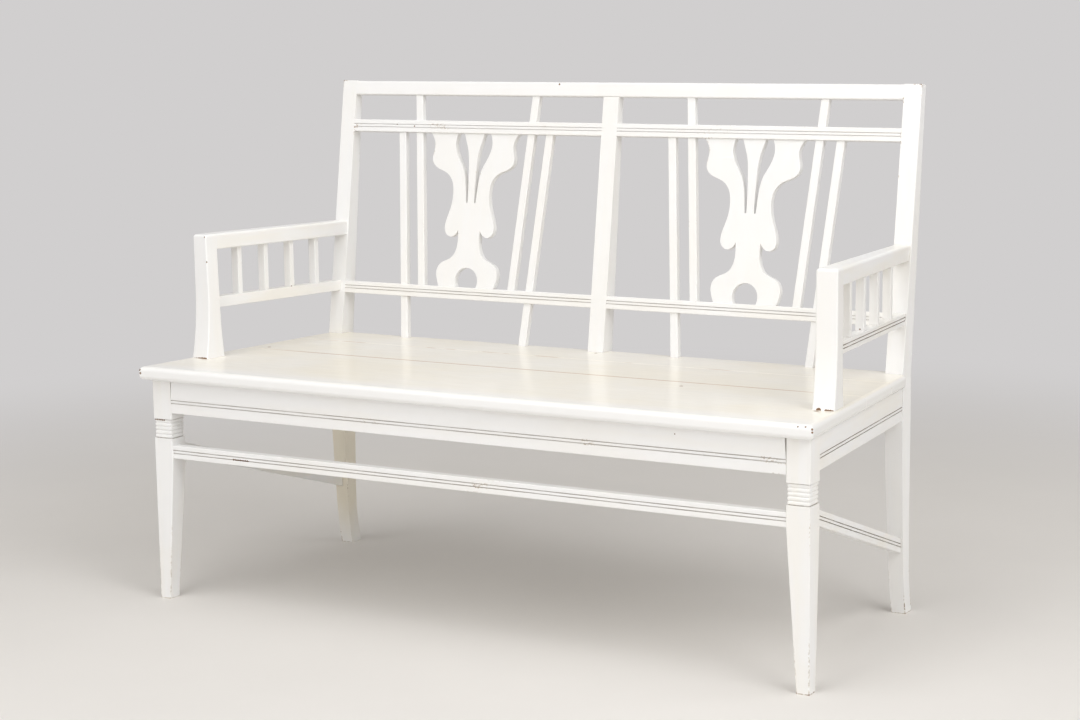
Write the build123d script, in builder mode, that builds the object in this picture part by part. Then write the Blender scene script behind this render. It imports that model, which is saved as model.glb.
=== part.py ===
"""A painted two-bay bench with a raked, slatted back, fretted splats and open arms.

Millimetres, +Z up, X along the length, the front towards -Y. The origin is on the floor under
the middle of the whole object. Heights are above the floor. Depths (y) come from the front
face of the front legs, which is at leg_y.
"""

import os
from math import atan2, cos, radians, sin, tan

from build123d import *

os.makedirs("parts", exist_ok=True)

# Overall size
front_width = 1334.0  # over the front legs
back_width = 1252.5  # over the back posts
seat_height = 445.0  # top of the seat boards
total_height = 956.0  # front edge of the post tops
rake = radians(8.5)  # lean of the back above the seat
seat_run = 502.0  # from the front legs' face to the back posts' face, at seat height

# Seat
seat_thickness = 25.0
seat_bottom = seat_height - seat_thickness
front_overhang = 22.0
side_overhang = 13.5  # at the front corners
rear_side_overhang = 3.5
seat_rear_run = 22.0  # how far the seat goes on behind the posts' front face
seam_front = 262.0  # from the legs' front face to the first seam
seam_rear = seat_run - 90.0
seam_gap = 0.6
seam_rounding = 0.8
bullnose = 9.0
corner_radius = 2.5

# Posts and legs
post_width = 33.5
post_depth_top = 19.5  # square to the raked face
post_foot_width = 27.0
leg_width = 42.0
leg_depth = 38.0
leg_foot_width = 23.0
leg_foot_depth = 26.0
leg_taper_top = seat_bottom - 150.0
reed_top = seat_bottom - 75.0
reed_bottom = seat_bottom - 111.5
reed_count = 5
reed_inset = 1.8
reed_groove = 3.4

# Aprons and stretchers
apron_height = 62.5
side_apron_height = 59.5
apron_thickness = 18.0
front_stretcher_bottom = seat_bottom - 148.4
front_stretcher_height = 24.5
front_stretcher_thickness = 18.0
side_stretcher_height = 27.5
side_stretcher_thickness = 14.0
side_stretcher_front = seat_bottom - 149.0  # underside where it leaves the front leg
side_stretcher_rear = {"right": 117.5, "left": 124.0}  # underside at the back leg

# Back rails, heights on the raked front face
top_rail_bottom = total_height - 28.0
top_rail_thickness = 19.0
upper_rail_bottom = total_height - 102.0
lower_rail_bottom = seat_height + 83.3
cross_rail_height = 24.0
cross_rail_thickness = 20.0
slat_width = 16.0
slat_thickness = 12.5
slat_setback = 3.5
splat_thickness = 12.0
splat_setback = 4.0

# Arms
arm_top = seat_height + 229.5
arm_rest_height = 29.5
arm_front_width = {"right": 37.5, "left": 33.0}  # of the arm rest and its post, where they meet
arm_rear_width = 28.0  # of the arm rest at the back post
arm_rise = {"right": 0.0, "left": 5.0}  # of an arm's rails, from the back post to the arm post
arm_rail_bottom = seat_height + 87.0
arm_rail_height = 21.0
arm_rail_thickness = 20.0
baluster_count = 4
baluster_width = 16.0
baluster_depth = 11.5
baluster_inset = 3.5
# the front of each arm's first baluster and the step to the next, as shares of the seat's run
baluster_places = {"right": (0.398, 0.1544), "left": (0.44, 0.1474)}

# Joints and grooves
groove_width = 1.7
groove_depth = 2.0
groove_pitch = 5.7  # between the two grooves of a pair
tenon_thickness = 8.0
tenon_shoulder = 4.0
tenon_slack = 0.15  # play on each cheek
tenon_end_slack = 0.6  # play past a tenon's end
eased = 1.2  # radius on the arrises

# Worked out from the sizes above
groove_steps = (-groove_pitch / 2, groove_pitch / 2)
slope = tan(rake)
depth = (
    front_overhang
    + seat_run
    + (total_height - seat_height) * slope
    + post_depth_top * cos(rake)
)
leg_y = -depth / 2 + front_overhang
post_y = leg_y + seat_run
rear_apron_y = post_y + 2.0
apron_bottom = seat_bottom - apron_height
side_apron_bottom = seat_bottom - side_apron_height
post_outer = back_width / 2
post_inner = post_outer - post_width
leg_outer = front_width / 2
leg_inner = leg_outer - leg_width
side_y = leg_y + leg_depth  # where a side's outer face leaves the front leg
side_angle = atan2(leg_outer - post_outer, post_y - side_y)
side_slope = tan(side_angle)

# The raked plane of the back: x along the bench, y up the back, its normal out of the front
back = Plane(
    origin=(0, post_y, seat_height), x_dir=(1, 0, 0), z_dir=(0, -cos(rake), sin(rake))
)


def up_back(height):
    """The distance up the raked plane at which its face is at a height."""
    return (height - seat_height) / cos(rake)


def face_y(height):
    """The y of the raked front face at a height."""
    return post_y + (height - seat_height) * slope


def side_x(y, inset=0.0):
    """The x of the right side's outer face at a y, moved in by an inset."""
    return leg_outer - (y - side_y) * side_slope - inset / cos(side_angle)


def side_plan(y_front, y_rear, inset, thickness):
    """The four corners, seen from above, of a bar that follows the right side."""
    return [
        (side_x(y_front, inset), y_front),
        (side_x(y_rear, inset), y_rear),
        (side_x(y_rear, inset + thickness), y_rear),
        (side_x(y_front, inset + thickness), y_front),
    ]


def side_bar(y_front, y_rear, inset, thickness, bottom, top, mode=Mode.ADD):
    """An upright-sided bar along the right side, for use inside a part."""
    with BuildSketch(Plane.XY.offset(bottom)) as outline:
        Polygon(*side_plan(y_front, y_rear, inset, thickness), align=None)
    extrude(outline.sketch, amount=top - bottom, mode=mode)


def block(x0, x1, y0, y1, z0, z1, mode=Mode.ADD):
    """A box between limits, for use inside a part."""
    with Locations(((x0 + x1) / 2, (y0 + y1) / 2, (z0 + z1) / 2)):
        Box(x1 - x0, y1 - y0, z1 - z0, mode=mode)


def back_block(x0, x1, low, high, setback, thickness, mode=Mode.ADD):
    """A box in the raked back, between two x and two distances up the back."""
    with BuildSketch(back.offset(-setback)) as outline:
        with Locations(((x0 + x1) / 2, (low + high) / 2)):
            Rectangle(x1 - x0, high - low)
    extrude(outline.sketch, amount=-thickness, mode=mode)


def long_edges(shape, least):
    """The edges of a shape that are longer than a length."""
    return [edge for edge in shape.edges() if edge.length > least]


def eased_edges(post, jointed):
    """A post's long edges, but for the front arrises at these x, where the rails meet it flush."""
    return [
        edge
        for edge in long_edges(post, 300)
        if min(abs(edge.center().X - x) for x in jointed) > 1
        or edge.center().Y > face_y(max(edge.center().Z, seat_height)) + 5
    ]


def save(shape, name):
    """Labels a finished piece and writes it."""
    shape.label = name
    export_step(shape, f"parts/{name}.step")


def save_hand(shape, name, hand):
    """Writes a piece made on the right, mirrored if it belongs on the left."""
    if hand == "right":
        save(shape, f"{name}_right")
    else:
        with BuildPart() as other:
            mirror(shape, about=Plane.YZ)
        save(other.part, f"{name}_left")


def save_pair(shape, name):
    """Writes a right-hand piece and its mirror image."""
    for hand in ("right", "left"):
        save_hand(shape, name, hand)


# Sizes shared by a tenon and its mortise
side_tenon_length = 14.0
side_tenon_inset = 5.5
# how far into a back post's width the lower arm rail's mortise comes, from the outside
side_tenon_reach = (side_tenon_inset + tenon_thickness + tenon_slack) / cos(side_angle) + (
    face_y(arm_rail_bottom + arm_rail_height / 2) + side_tenon_length + tenon_end_slack - post_y
) * side_slope
mortise_wall = 1.1  # wood left between two mortises
rail_tenon_length = min(
    (post_width - mortise_wall) / 2 - tenon_end_slack,
    post_width - side_tenon_reach - mortise_wall - tenon_end_slack,
)
rail_tenon_setback = (cross_rail_thickness - tenon_thickness) / 2
top_tenon_setback = (top_rail_thickness - tenon_thickness) / 2
apron_tenon_length = 18.0
apron_tenon_setback = (apron_thickness - tenon_thickness) / 2
apron_inset = 1.0
stretcher_setback = 2.0
stretcher_tenon_setback = stretcher_setback + (front_stretcher_thickness - tenon_thickness) / 2
side_stretcher_inset = 3.0
side_stretcher_tenon = side_stretcher_inset + (side_stretcher_thickness - tenon_thickness) / 2
arm_tenon_length = 14.0
arm_rail_inset = 1.5
housing = 9.0  # how far slats and balusters go into a rail
splat_tenon = 5.0
splat_top_tenons = [(-90, -50), (-16, 16), (50, 90)]
splat_foot_tenons = [(-58, -30), (30, 58)]
slat_foot = 12.0  # how far the outer slats go into the seat
rail_groove_middle = 12.3
top_rail_drop = 0.8
top_rail_height = total_height - top_rail_drop - top_rail_bottom
arm_rounding = 5.0
arm_tenon_width = 14.0
arm_groove_middle = 11.3


def rail_tenon(x0, x1, bottom, height, setback, slack=0.0, mode=Mode.ADD):
    """A cross rail's tenon, or with slack its mortise, between two x."""
    low = up_back(bottom + tenon_shoulder) - slack
    high = up_back(bottom + height - tenon_shoulder) + slack
    back_block(x0, x1, low, high, setback - slack, tenon_thickness + 2 * slack, mode)


def side_tenon(y0, y1, inset, bottom, top, slack=0.0, mode=Mode.ADD):
    """A side bar's tenon, or with slack its mortise, between two y."""
    side_bar(
        y0,
        y1,
        inset - slack,
        tenon_thickness + 2 * slack,
        bottom + tenon_shoulder - slack,
        top - tenon_shoulder + slack,
        mode,
    )


def straight_groove(x0, x1, y, height, mode=Mode.SUBTRACT):
    """One groove along X in a face at y."""
    half = groove_width / 2
    block(x0, x1, y - 1, y + groove_depth, height - half, height + half, mode)


def side_groove(y0, y1, inset, height):
    """One groove along the right side's outer face."""
    half = groove_width / 2
    side_bar(y0, y1, inset - 1, groove_depth + 1, height - half, height + half, Mode.SUBTRACT)


def back_grooves(x0, x1, bottom, middle):
    """The pair of grooves along a cross rail."""
    for step in groove_steps:
        centre = up_back(bottom + middle) + step
        half = groove_width / 2
        back_block(x0, x1, centre - half, centre + half, -1, groove_depth + 1, Mode.SUBTRACT)


# Where the leaning slats stand
bay_centre = (post_inner + post_width / 2) / 2
lean = 0.083  # outwards per unit of height on the back
splay_height = 554.0
outer_half = 146.5
inner_half = 105.0


def slat_x(half, towards, height):
    """The x of a right-bay slat's middle at a height; towards is 1 for the end of the bench."""
    return bay_centre + towards * (half + (height - splay_height) * lean)


def slat_shape(half, towards, low, high, slack=0.0, mode=Mode.ADD, bay=1):
    """A leaning slat between two heights on the raked face, or with slack the way it takes."""
    width = slat_width / 2 + slack
    at_low = slat_x(half, towards, low) * bay
    at_high = slat_x(half, towards, high) * bay
    with BuildSketch(back.offset(slack - slat_setback)) as outline:
        Polygon(
            (at_low - width, up_back(low)),
            (at_low + width, up_back(low)),
            (at_high + width, up_back(high)),
            (at_high - width, up_back(high)),
            align=None,
        )
    extrude(outline.sketch, amount=-slat_thickness - 2 * slack, mode=mode)


# Front legs

with BuildPart() as front_leg:
    with BuildSketch(Plane.XY):
        with Locations((leg_outer, leg_y)):
            Rectangle(leg_foot_width, leg_foot_depth, align=(Align.MAX, Align.MIN))
    with BuildSketch(Plane.XY.offset(leg_taper_top)):
        with Locations((leg_outer, leg_y)):
            Rectangle(leg_width, leg_depth, align=(Align.MAX, Align.MIN))
    loft()
    block(leg_inner, leg_outer, leg_y, leg_y + leg_depth, leg_taper_top, reed_bottom)
    fillet([edge for edge in front_leg.edges() if abs(edge.tangent_at(0.5).Z) > 0.9], eased)
    block(
        leg_inner + reed_groove,
        leg_outer - reed_groove,
        leg_y + reed_groove,
        leg_y + leg_depth - reed_groove,
        reed_bottom,
        reed_top,
    )

reed_height = (reed_top - reed_bottom) / reed_count
with BuildPart() as reed:
    block(
        leg_inner + reed_inset,
        leg_outer - reed_inset,
        leg_y + reed_inset,
        leg_y + leg_depth - reed_inset,
        0,
        reed_height,
    )
    fillet([edge for edge in reed.edges() if abs(edge.tangent_at(0.5).Z) < 0.1], reed_height * 0.42)

with BuildPart() as leg_block:
    block(leg_inner, leg_outer, leg_y, leg_y + leg_depth, reed_top, seat_bottom)
    fillet([edge for edge in leg_block.edges() if abs(edge.tangent_at(0.5).Z) > 0.9], eased)

with BuildPart() as front_leg_right:
    add(front_leg.part)
    for i in range(reed_count):
        add(reed.part.moved(Location((0, 0, reed_bottom + i * reed_height))))
    add(leg_block.part)
    # front apron
    block(
        leg_inner - 1,
        leg_inner + apron_tenon_length + tenon_end_slack,
        leg_y + apron_tenon_setback - tenon_slack,
        leg_y + apron_tenon_setback + tenon_thickness + tenon_slack,
        apron_bottom + tenon_shoulder - tenon_slack,
        seat_bottom - tenon_shoulder + tenon_slack,
        Mode.SUBTRACT,
    )
    # front stretcher
    block(
        leg_inner - 1,
        leg_inner + apron_tenon_length + tenon_end_slack,
        leg_y + stretcher_tenon_setback - tenon_slack,
        leg_y + stretcher_tenon_setback + tenon_thickness + tenon_slack,
        front_stretcher_bottom + tenon_shoulder - tenon_slack,
        front_stretcher_bottom + front_stretcher_height - tenon_shoulder + tenon_slack,
        Mode.SUBTRACT,
    )
    # side apron
    side_tenon(
        side_y - side_tenon_length - tenon_end_slack,
        side_y + 1,
        side_tenon_inset,
        side_apron_bottom,
        seat_bottom,
        tenon_slack,
        Mode.SUBTRACT,
    )
    # side stretcher
    side_tenon(
        side_y - side_tenon_length - tenon_end_slack,
        side_y + 1,
        side_stretcher_tenon,
        side_stretcher_front,
        side_stretcher_front + side_stretcher_height,
        tenon_slack,
        Mode.SUBTRACT,
    )
save_pair(front_leg_right.part, "front_leg")

# Back posts

leg_face_y = post_y  # the post's front face below the seat
leg_back_y = post_y + 39.5
straight_high = seat_height - 210.0  # the front face is straight between these two heights
straight_low = 95.0
straight_high_y = post_y + 3.0
straight_low_y = post_y + 12.0
sweep_top = straight_high + 110.0  # the leg is upright above this
foot_front_y = post_y + 26.0
foot_back_y = post_y + 56.0
foot_taper_top = straight_high + 105.0
bend_height = seat_height - 4.0  # where the back face starts to lean
top_front_y = face_y(total_height)
top_back_y = top_front_y + post_depth_top * cos(rake)
top_back_height = total_height - post_depth_top * sin(rake)

with BuildPart() as back_post:
    with BuildSketch(Plane.YZ.offset(post_inner)):
        with BuildLine():
            Polyline(
                (leg_face_y, sweep_top),
                (leg_face_y, seat_height),
                (top_front_y, total_height),
                (top_back_y, top_back_height),
                (leg_back_y, bend_height),
                (leg_back_y, straight_high),
            )
            Spline(
                (leg_back_y, straight_high),
                (leg_back_y + 0.5, 130),
                (leg_back_y + 4.5, 55),
                (foot_back_y, 0),
                tangents=((0, -1), (0.3, -1)),
            )
            Line((foot_back_y, 0), (foot_front_y, 0))
            Spline(
                (foot_front_y, 0),
                (foot_front_y - 8.5, 45),
                (straight_low_y, straight_low),
                tangents=((-0.25, 1), (straight_high_y - straight_low_y, straight_high - straight_low)),
            )
            Line((straight_low_y, straight_low), (straight_high_y, straight_high))
            Spline(
                (straight_high_y, straight_high),
                (leg_face_y, sweep_top),
                tangents=((straight_high_y - straight_low_y, straight_high - straight_low), (0, 1)),
            )
        make_face()
    extrude(amount=post_width)
    with BuildSketch(Plane.XZ.offset(-leg_face_y + 50)):
        Polygon(
            (post_inner - 1, foot_taper_top),
            (post_inner, foot_taper_top),
            (post_outer - post_foot_width, 0),
            (post_outer - post_foot_width, -1),
            (post_inner - 1, -1),
            align=None,
        )
    extrude(amount=-200, mode=Mode.SUBTRACT)
    fillet(eased_edges(back_post, [post_inner]), eased)
    rail_mortise_end = post_inner + rail_tenon_length + tenon_end_slack
    rail_tenon(
        post_inner - 1,
        rail_mortise_end,
        top_rail_bottom,
        top_rail_height,
        top_tenon_setback,
        tenon_slack,
        Mode.SUBTRACT,
    )
    for rail_bottom in (upper_rail_bottom, lower_rail_bottom):
        rail_tenon(
            post_inner - 1,
            rail_mortise_end,
            rail_bottom,
            cross_rail_height,
            rail_tenon_setback,
            tenon_slack,
            Mode.SUBTRACT,
        )
    # rear apron
    block(
        post_inner - 1,
        rail_mortise_end,
        rear_apron_y + apron_tenon_setback - tenon_slack,
        rear_apron_y + apron_tenon_setback + tenon_thickness + tenon_slack,
        apron_bottom + tenon_shoulder - tenon_slack,
        seat_bottom - tenon_shoulder + tenon_slack,
        Mode.SUBTRACT,
    )
    # arm rest, lower arm rail and side apron come in from the front
    for face, low, high in (
        (face_y(arm_top - arm_rest_height / 2), arm_top - arm_rest_height, arm_top),
        (face_y(arm_rail_bottom + arm_rail_height / 2), arm_rail_bottom, arm_rail_bottom + arm_rail_height),
        (leg_face_y, side_apron_bottom, seat_bottom),
    ):
        side_tenon(
            leg_face_y - 40,
            face + side_tenon_length + tenon_end_slack,
            side_tenon_inset,
            low,
            high,
            tenon_slack,
            Mode.SUBTRACT,
        )

# the side stretchers meet the two posts at different heights
for hand, rear in side_stretcher_rear.items():
    with BuildPart() as mortised_post:
        add(back_post.part)
        side_tenon(
            leg_face_y - 40,
            straight_low_y + side_tenon_length + tenon_end_slack,
            side_stretcher_tenon,
            rear,
            rear + side_stretcher_height,
            tenon_slack,
            Mode.SUBTRACT,
        )
    save_hand(mortised_post.part, "back_post", hand)

# Aprons

apron_groove_middle = 21.9
side_groove_middle = side_apron_bottom + 23.0
bearer_width = 44.0
bearer_height = 30.0
bearer_let_in = 6.0
shoulder_gap = 2.6  # shrinkage gap at the top of the front apron's shoulders


def bearer_housing(y0, y1):
    """The housing for one end of the seat bearer."""
    half = bearer_width / 2 + tenon_slack
    low = seat_bottom - bearer_height - tenon_slack
    block(-half, half, y0, y1, low, seat_bottom + 1, Mode.SUBTRACT)


with BuildPart() as front_apron:
    with BuildSketch(Plane.XZ.offset(-leg_y)):
        Polygon(
            (-leg_inner, apron_bottom),
            (leg_inner, apron_bottom),
            (leg_inner, seat_bottom - 42),
            (leg_inner - shoulder_gap, seat_bottom),
            (-leg_inner + shoulder_gap, seat_bottom),
            (-leg_inner, seat_bottom - 42),
            align=None,
        )
    extrude(amount=-apron_thickness)
    fillet(long_edges(front_apron, 1000), eased)
    for step in groove_steps:
        straight_groove(-leg_inner - 1, leg_inner + 1, leg_y, apron_bottom + apron_groove_middle + step)
    block(
        -leg_inner - apron_tenon_length,
        leg_inner + apron_tenon_length,
        leg_y + apron_tenon_setback,
        leg_y + apron_tenon_setback + tenon_thickness,
        apron_bottom + tenon_shoulder,
        seat_bottom - tenon_shoulder,
    )
    bearer_housing(leg_y + apron_thickness - bearer_let_in, leg_y + apron_thickness + 1)
save(front_apron.part, "front_apron")

with BuildPart() as rear_apron:
    block(
        -post_inner,
        post_inner,
        rear_apron_y,
        rear_apron_y + apron_thickness,
        apron_bottom,
        seat_bottom,
    )
    fillet(long_edges(rear_apron, 1000), eased)
    block(
        -post_inner - rail_tenon_length,
        post_inner + rail_tenon_length,
        rear_apron_y + apron_tenon_setback,
        rear_apron_y + apron_tenon_setback + tenon_thickness,
        apron_bottom + tenon_shoulder,
        seat_bottom - tenon_shoulder,
    )
    bearer_housing(rear_apron_y - 1, rear_apron_y + bearer_let_in)
save(rear_apron.part, "rear_apron")

with BuildPart() as side_apron_right:
    side_bar(side_y, leg_face_y, apron_inset, apron_thickness, side_apron_bottom, seat_bottom)
    fillet(long_edges(side_apron_right, 300), eased)
    for step in groove_steps:
        side_groove(side_y - 1, leg_face_y + 1, apron_inset, side_groove_middle + step)
    side_tenon(
        side_y - side_tenon_length,
        leg_face_y + side_tenon_length,
        side_tenon_inset,
        side_apron_bottom,
        seat_bottom,
    )
save_pair(side_apron_right.part, "side_apron")

with BuildPart() as seat_bearer:
    block(
        -bearer_width / 2,
        bearer_width / 2,
        leg_y + apron_thickness - bearer_let_in + tenon_slack,
        rear_apron_y + bearer_let_in - tenon_slack,
        seat_bottom - bearer_height,
        seat_bottom,
    )
save(seat_bearer.part, "seat_bearer")

# Stretchers

with BuildPart() as front_stretcher:
    block(
        -leg_inner,
        leg_inner,
        leg_y + stretcher_setback,
        leg_y + stretcher_setback + front_stretcher_thickness,
        front_stretcher_bottom,
        front_stretcher_bottom + front_stretcher_height,
    )
    fillet(long_edges(front_stretcher, 1000), eased)
    for step in groove_steps:
        straight_groove(
            -leg_inner - 1,
            leg_inner + 1,
            leg_y + stretcher_setback,
            front_stretcher_bottom + front_stretcher_height / 2 + 0.7 + step,
        )
    block(
        -leg_inner - apron_tenon_length,
        leg_inner + apron_tenon_length,
        leg_y + stretcher_tenon_setback,
        leg_y + stretcher_tenon_setback + tenon_thickness,
        front_stretcher_bottom + tenon_shoulder,
        front_stretcher_bottom + front_stretcher_height - tenon_shoulder,
    )
save(front_stretcher.part, "front_stretcher")

# The upright plane of the right side's outer face: x rearwards, y up
side = Plane(
    origin=(leg_outer, side_y, 0),
    x_dir=(-sin(side_angle), cos(side_angle), 0),
    z_dir=(cos(side_angle), sin(side_angle), 0),
)
side_run = (straight_low_y + 20 - side_y) / cos(side_angle)


def sloping_bar(rear, inset, thickness, low, high, mode=Mode.ADD):
    """A bar down the side, from inside the front leg to inside the back leg."""
    fall = (side_stretcher_front - rear) / (post_y + 8 - side_y) * cos(side_angle)
    with BuildSketch(side.offset(-inset)) as outline:
        Polygon(
            (-30, side_stretcher_front + low + 30 * fall),
            (side_run, side_stretcher_front + low - side_run * fall),
            (side_run, side_stretcher_front + high - side_run * fall),
            (-30, side_stretcher_front + high + 30 * fall),
            align=None,
        )
    extrude(outline.sketch, amount=-thickness, mode=mode)


for hand, rear in side_stretcher_rear.items():
    with BuildPart() as side_stretcher:
        sloping_bar(rear, side_stretcher_inset, side_stretcher_thickness, 0, side_stretcher_height)
        fillet(long_edges(side_stretcher, 300), eased)
        for step in groove_steps:
            middle = side_stretcher_height / 2 + 0.5 + step
            sloping_bar(
                rear,
                side_stretcher_inset - 1,
                groove_depth + 1,
                middle - groove_width / 2,
                middle + groove_width / 2,
                Mode.SUBTRACT,
            )
        # shoulders at the two legs
        block(500, 800, side_y - 100, side_y, 0, 500, Mode.SUBTRACT)
        rise = straight_high - straight_low
        run = straight_high_y - straight_low_y
        with BuildSketch(Plane.YZ.offset(500)):
            Polygon(
                (straight_low_y - run / rise * straight_low, 0),
                (straight_low_y + 200, 0),
                (straight_low_y + 200, straight_high),
                (straight_high_y, straight_high),
                align=None,
            )
        extrude(amount=300, mode=Mode.SUBTRACT)
        side_tenon(
            side_y - side_tenon_length,
            side_y,
            side_stretcher_tenon,
            side_stretcher_front,
            side_stretcher_front + side_stretcher_height,
        )
        side_tenon(
            straight_low_y - 7,
            straight_low_y + side_tenon_length,
            side_stretcher_tenon,
            rear,
            rear + side_stretcher_height,
        )
    save_hand(side_stretcher.part, "side_stretcher", hand)

# Seat boards

seat_front_y = leg_y - front_overhang
seat_rear_y = post_y + seat_rear_run
seat_front_half = leg_outer + side_overhang
seat_rear_half = post_outer + rear_side_overhang
seat_taper = (seat_front_half - seat_rear_half) / (seat_rear_y - seat_front_y)
arm_foot_front = leg_y + 110.0
arm_foot_rear = leg_y + 159.0
arm_foot_width = 38.5
arm_foot_tenon = 16.0


def seat_half(y):
    """Half the seat's length at a y."""
    return seat_front_half - (y - seat_front_y) * seat_taper


def seat_outline(y_front, y_rear):
    """A board of the seat, seen from above."""
    with BuildSketch(Plane.XY.offset(seat_bottom)) as outline:
        Polygon(
            (-seat_half(y_front), y_front),
            (seat_half(y_front), y_front),
            (seat_half(y_rear), y_rear),
            (-seat_half(y_rear), y_rear),
            align=None,
        )
    extrude(outline.sketch, amount=seat_thickness)


def seam_arrises(board, past):
    """The long top edges of a board that lie behind a y."""
    return [
        edge
        for edge in board.edges()
        if edge.length > back_width / 2 and edge.center().Y > past and edge.center().Z > seat_height - 1
    ]


def end_edges(board):
    """The top and bottom edges of a board's two ends."""
    ends = board.faces().filter_by(lambda face: abs(face.normal_at().X) > 0.9)
    flat = [edge for face in ends for edge in face.edges() if abs(edge.tangent_at(0.5).Z) < 0.1]
    return flat


dowel_length = 40.0
dowel_radius = 4.0
dowel_slack = 0.1
dowel_step = back_width / 5.6
dowel_places = [dowel_step * k for k in (-2.5, -1.5, -0.5, 0.5, 1.5, 2.5)]


def dowel_row(y, radius, length, mode=Mode.ADD):
    """A row of dowels across a seam, halfway through the boards."""
    for x in dowel_places:
        with BuildSketch(Plane.XZ.offset(-(y - length / 2))) as outline:
            with Locations((x, seat_bottom + seat_thickness / 2)):
                Circle(radius)
        extrude(outline.sketch, amount=-length, mode=mode)


def arm_foot(front, rear, width, bottom, top, mode=Mode.ADD):
    """The arm post's tenon in the seat, or its mortise, on both sides of the bench."""
    for sign in (1, -1):
        with BuildSketch(Plane.XY.offset(bottom)) as outline:
            corners = side_plan(front, rear, (arm_foot_width - width) / 2, width)
            Polygon(*[(sign * x, y) for x, y in corners], align=None)
        extrude(outline.sketch, amount=top - bottom, mode=mode)


front_seam_y = leg_y + seam_front
rear_seam_y = leg_y + seam_rear

with BuildPart() as seat_front_board:
    seat_outline(seat_front_y, front_seam_y - seam_gap / 2)
    nosing = [
        edge
        for edge in seat_front_board.edges()
        if abs(edge.tangent_at(0.5).Z) < 0.1
        and (edge.center().Y < seat_front_y + 5 or abs(edge.center().X) > seat_front_half / 2)
    ]
    fillet(nosing, bullnose)
    # each front corner's upright edge and the two mitres of the nosing
    corners = [
        edge
        for edge in seat_front_board.edges()
        if edge.center().Y < seat_front_y + bullnose and edge.length < 2.2 * bullnose
    ]
    fillet(corners, corner_radius)
    fillet(seam_arrises(seat_front_board, front_seam_y - 5), seam_rounding)
    dowel_row(front_seam_y, dowel_radius + dowel_slack, dowel_length + 1, Mode.SUBTRACT)
    arm_foot(
        arm_foot_front + 10 - tenon_slack,
        arm_foot_rear - 10 + tenon_slack,
        arm_tenon_width + 2 * tenon_slack,
        seat_height - arm_foot_tenon - tenon_end_slack,
        seat_height + 1,
        Mode.SUBTRACT,
    )
save(seat_front_board.part, "seat_front_board")

with BuildPart() as seat_middle_board:
    seat_outline(front_seam_y + seam_gap / 2, rear_seam_y - seam_gap / 2)
    fillet(end_edges(seat_middle_board), bullnose)
    fillet(seam_arrises(seat_middle_board, seat_front_y), seam_rounding)
    dowel_row(front_seam_y, dowel_radius + dowel_slack, dowel_length + 1, Mode.SUBTRACT)
    dowel_row(rear_seam_y, dowel_radius + dowel_slack, dowel_length + 1, Mode.SUBTRACT)
save(seat_middle_board.part, "seat_middle_board")

notch_slack = 0.3
with BuildPart() as seat_rear_board:
    seat_outline(rear_seam_y + seam_gap / 2, seat_rear_y)
    fillet(end_edges(seat_rear_board), bullnose)
    fillet(seam_arrises(seat_rear_board, seat_front_y), seam_rounding)
    notch_y = leg_face_y - notch_slack
    # the board stops at the outer posts' faces, and goes on between them
    for x0, x1 in (
        (post_inner, seat_front_half),
        (-seat_front_half, -post_inner),
        (-post_width / 2, post_width / 2),
    ):
        block(
            x0 - notch_slack,
            x1 + notch_slack,
            notch_y,
            seat_rear_y + 5,
            seat_bottom - 1,
            seat_height + 1,
            Mode.SUBTRACT,
        )
    dowel_row(rear_seam_y, dowel_radius + dowel_slack, dowel_length + 1, Mode.SUBTRACT)
    for bay in (1, -1):
        for towards in (1, -1):
            slat_shape(
                outer_half,
                towards,
                seat_height - slat_foot - tenon_end_slack,
                seat_height + 6,
                tenon_slack,
                Mode.SUBTRACT,
                bay,
            )
save(seat_rear_board.part, "seat_rear_board")

for seam_y, name in ((front_seam_y, "seat_front_dowels"), (rear_seam_y, "seat_rear_dowels")):
    with BuildPart() as dowels:
        dowel_row(seam_y, dowel_radius, dowel_length)
    save(dowels.part, name)

# Centre post of the back

centre_lap_bottom = apron_bottom + 3
centre_back_y = post_y + 36.5
rear_apron_back = rear_apron_y + apron_thickness

with BuildPart() as centre_back_post:
    lap_y = face_y(top_rail_bottom)
    with BuildSketch(Plane.YZ.offset(-post_width / 2)):
        Polygon(
            (post_y, seat_bottom),
            (post_y, seat_height),
            (lap_y, top_rail_bottom),
            (
                lap_y + post_depth_top * cos(rake),
                top_rail_bottom - post_depth_top * sin(rake),
            ),
            (centre_back_y, bend_height),
            (centre_back_y, centre_lap_bottom),
            (rear_apron_back, centre_lap_bottom),
            (rear_apron_back, seat_bottom),
            align=None,
        )
    extrude(amount=post_width)
    fillet(eased_edges(centre_back_post, [-post_width / 2, post_width / 2]), eased)
    low = up_back(top_rail_bottom)
    half = post_width / 2 - tenon_shoulder
    back_block(-half, half, low - 2, low + rail_tenon_length, top_tenon_setback, tenon_thickness)
    for rail_bottom in (upper_rail_bottom, lower_rail_bottom):
        for x0, x1 in (
            (post_width / 2 - rail_tenon_length - tenon_end_slack, post_width / 2 + 1),
            (-post_width / 2 - 1, rail_tenon_length + tenon_end_slack - post_width / 2),
        ):
            rail_tenon(
                x0,
                x1,
                rail_bottom,
                cross_rail_height,
                rail_tenon_setback,
                tenon_slack,
                Mode.SUBTRACT,
            )
save(centre_back_post.part, "centre_back_post")

# Rails of the back

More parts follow.
